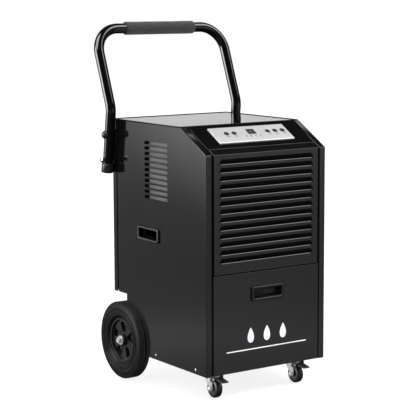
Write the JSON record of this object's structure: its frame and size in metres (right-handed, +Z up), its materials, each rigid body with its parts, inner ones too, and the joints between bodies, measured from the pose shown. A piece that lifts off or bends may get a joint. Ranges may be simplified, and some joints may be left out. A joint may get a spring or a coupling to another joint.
{
  "type": "commercial dehumidifier",
  "caption": "Upright box dehumidifier with louvred intake, sloping console, pull-out water tank, folding U handle, two large rear wheels and two braked swivel casters.",
  "frame": {"origin": "centre of the bounding box's bottom face, on the floor the wheels stand on", "axes": "+Z up; -Y out of the front, where the intake grille and the tank door are; +X towards the side with the group of three buttons, the right side for someone facing the machine's front"},
  "size_m": [0.4752, 0.5296, 0.9582],
  "materials": {
    "powder_coat": "satin black powder coat",
    "gloss_black": "gloss black, mirror-like at low angles",
    "silver_plate": "fine brushed silver",
    "display": "gloss",
    "button_rubber": "matt",
    "black_plastic": "satin moulded",
    "tube_gloss": "gloss black",
    "foam": "matt closed-cell foam",
    "tyre": "matt rubber",
    "zinc": "zinc plated",
    "chrome": "polished",
    "mesh_steel": "bare mesh",
    "coil_fins": "finned",
    "filter_medium": "open mesh",
    "tank_plastic": "translucent white, satin",
    "compressor_shell": "gloss black",
    "circuit_board": "satin"
  },
  "bodies": {
    "cabinet": {"side_panel_left": "powder_coat", "side_panel_right": "powder_coat", "vent_mesh_left": "mesh_steel", "vent_mesh_right": "mesh_steel", "top_panel": "gloss_black", "rear_panel": "powder_coat", "base_tray": "zinc", "axle_bay_panel": "powder_coat", "side_pull_left": "black_plastic", "side_pull_right": "black_plastic", "slope_panel": "gloss_black", "control_plate": "silver_plate", "display_window": "display", "lamp_strip": "display", "control_board": "circuit_board", "handle_bracket_left": "black_plastic", "handle_bracket_right": "black_plastic", "pivot_nut_left": "black_plastic", "pivot_nut_right": "black_plastic", "rear_axle": "zinc", "axle_nut_left": "zinc", "axle_nut_right": "zinc", "caster_plate_left": "zinc", "caster_plate_right": "zinc", "compressor": "compressor_shell", "divider_shelf": "zinc", "evaporator_coil": "coil_fins", "condenser_coil": "coil_fins", "fan_shroud": "black_plastic", "fan_motor": "black_plastic", "power_inlet": "black_plastic", "drain_port": "black_plastic"},
    "handle": {"handle_tube": "tube_gloss", "handle_grip": "foam", "ferrule_left": "black_plastic", "ferrule_right": "black_plastic"},
    "lock_pin_left": {"lock_pin_left": "chrome"},
    "lock_pin_right": {"lock_pin_right": "chrome"},
    "wheel_left": {"tyre_left": "tyre", "rim_left": "black_plastic"},
    "wheel_right": {"tyre_right": "tyre", "rim_right": "black_plastic"},
    "caster_left": {"caster_fork_left": "zinc"},
    "caster_right": {"caster_fork_right": "zinc"},
    "caster_wheel_left": {"caster_wheel_left": "black_plastic"},
    "caster_wheel_right": {"caster_wheel_right": "black_plastic"},
    "brake_left": {"brake_pedal_left": "black_plastic"},
    "brake_right": {"brake_pedal_right": "black_plastic"},
    "drawer": {"door_panel": "powder_coat", "door_pull": "black_plastic", "water_tank": "tank_plastic"},
    "float": {"tank_float": "black_plastic"},
    "intake": {"front_grille": "powder_coat", "air_filter": "filter_medium"},
    "fan": {"fan_impeller": "black_plastic"},
    "button_1": {"button_1": "button_rubber"},
    "button_2": {"button_2": "button_rubber"},
    "button_3": {"button_3": "button_rubber"},
    "button_4": {"button_4": "button_rubber"},
    "button_5": {"button_5": "button_rubber"}
  },
  "joints": [
    {"name": "handle_fold", "type": "hinge", "parent": "cabinet", "child": "handle", "pos_m": [0, 0.17416, 0.657], "axis": [1, 0, 0], "range_deg": [0, 88]},
    {"name": "lock_pin_left_pull", "type": "slide", "parent": "handle", "child": "lock_pin_left", "axis": [-1, 0, 0], "range_m": [0, 0.007], "stiffness_N_per_m": 400},
    {"name": "lock_pin_right_pull", "type": "slide", "parent": "handle", "child": "lock_pin_right", "axis": [1, 0, 0], "range_m": [0, 0.007], "stiffness_N_per_m": 400},
    {"name": "wheel_left_roll", "type": "hinge", "parent": "cabinet", "child": "wheel_left", "pos_m": [-0.2118, 0.09875, 0.105], "axis": [1, 0, 0], "continuous": true},
    {"name": "wheel_right_roll", "type": "hinge", "parent": "cabinet", "child": "wheel_right", "pos_m": [0.2118, 0.09875, 0.105], "axis": [1, 0, 0], "continuous": true},
    {"name": "caster_left_swivel", "type": "hinge", "parent": "cabinet", "child": "caster_left", "pos_m": [-0.132, -0.19475, 0.0629], "axis": [0, 0, 1], "continuous": true},
    {"name": "caster_wheel_left_roll", "type": "hinge", "parent": "caster_left", "child": "caster_wheel_left", "pos_m": [-0.132, -0.21175, 0.025], "axis": [1, 0, 0], "continuous": true},
    {"name": "brake_left_press", "type": "hinge", "parent": "caster_left", "child": "brake_left", "pos_m": [-0.132, -0.22675, 0.0525], "axis": [1, 0, 0], "range_deg": [0, 12], "stiffness_Nm_per_rad": 0.5},
    {"name": "caster_right_swivel", "type": "hinge", "parent": "cabinet", "child": "caster_right", "pos_m": [0.132, -0.19475, 0.0629], "axis": [0, 0, 1], "continuous": true},
    {"name": "caster_wheel_right_roll", "type": "hinge", "parent": "caster_right", "child": "caster_wheel_right", "pos_m": [0.132, -0.21175, 0.025], "axis": [1, 0, 0], "continuous": true},
    {"name": "brake_right_press", "type": "hinge", "parent": "caster_right", "child": "brake_right", "pos_m": [0.132, -0.22675, 0.0525], "axis": [1, 0, 0], "range_deg": [0, 12], "stiffness_Nm_per_rad": 0.5},
    {"name": "drawer_pull", "type": "slide", "parent": "cabinet", "child": "drawer", "axis": [0, -1, 0], "range_m": [0, 0.18]},
    {"name": "float_lift", "type": "hinge", "parent": "drawer", "child": "float", "pos_m": [0.11, -0.06625, 0.2702], "axis": [-1, 0, 0], "range_deg": [0, 12]},
    {"name": "intake_pull", "type": "slide", "parent": "cabinet", "child": "intake", "axis": [0, -1, 0], "range_m": [0, 0.05]},
    {"name": "fan_spin", "type": "hinge", "parent": "cabinet", "child": "fan", "pos_m": [0, -0.10925, 0.5], "axis": [0, 1, 0], "continuous": true},
    {"name": "button_1_press", "type": "slide", "parent": "cabinet", "child": "button_1", "axis": [0, 0.4921, -0.8706], "range_m": [0, 0.001], "stiffness_N_per_m": 300},
    {"name": "button_2_press", "type": "slide", "parent": "cabinet", "child": "button_2", "axis": [0, 0.4921, -0.8706], "range_m": [0, 0.001], "stiffness_N_per_m": 300},
    {"name": "button_3_press", "type": "slide", "parent": "cabinet", "child": "button_3", "axis": [0, 0.4921, -0.8706], "range_m": [0, 0.001], "stiffness_N_per_m": 300},
    {"name": "button_4_press", "type": "slide", "parent": "cabinet", "child": "button_4", "axis": [0, 0.4921, -0.8706], "range_m": [0, 0.001], "stiffness_N_per_m": 300},
    {"name": "button_5_press", "type": "slide", "parent": "cabinet", "child": "button_5", "axis": [0, 0.4921, -0.8706], "range_m": [0, 0.001], "stiffness_N_per_m": 300}
  ]
}
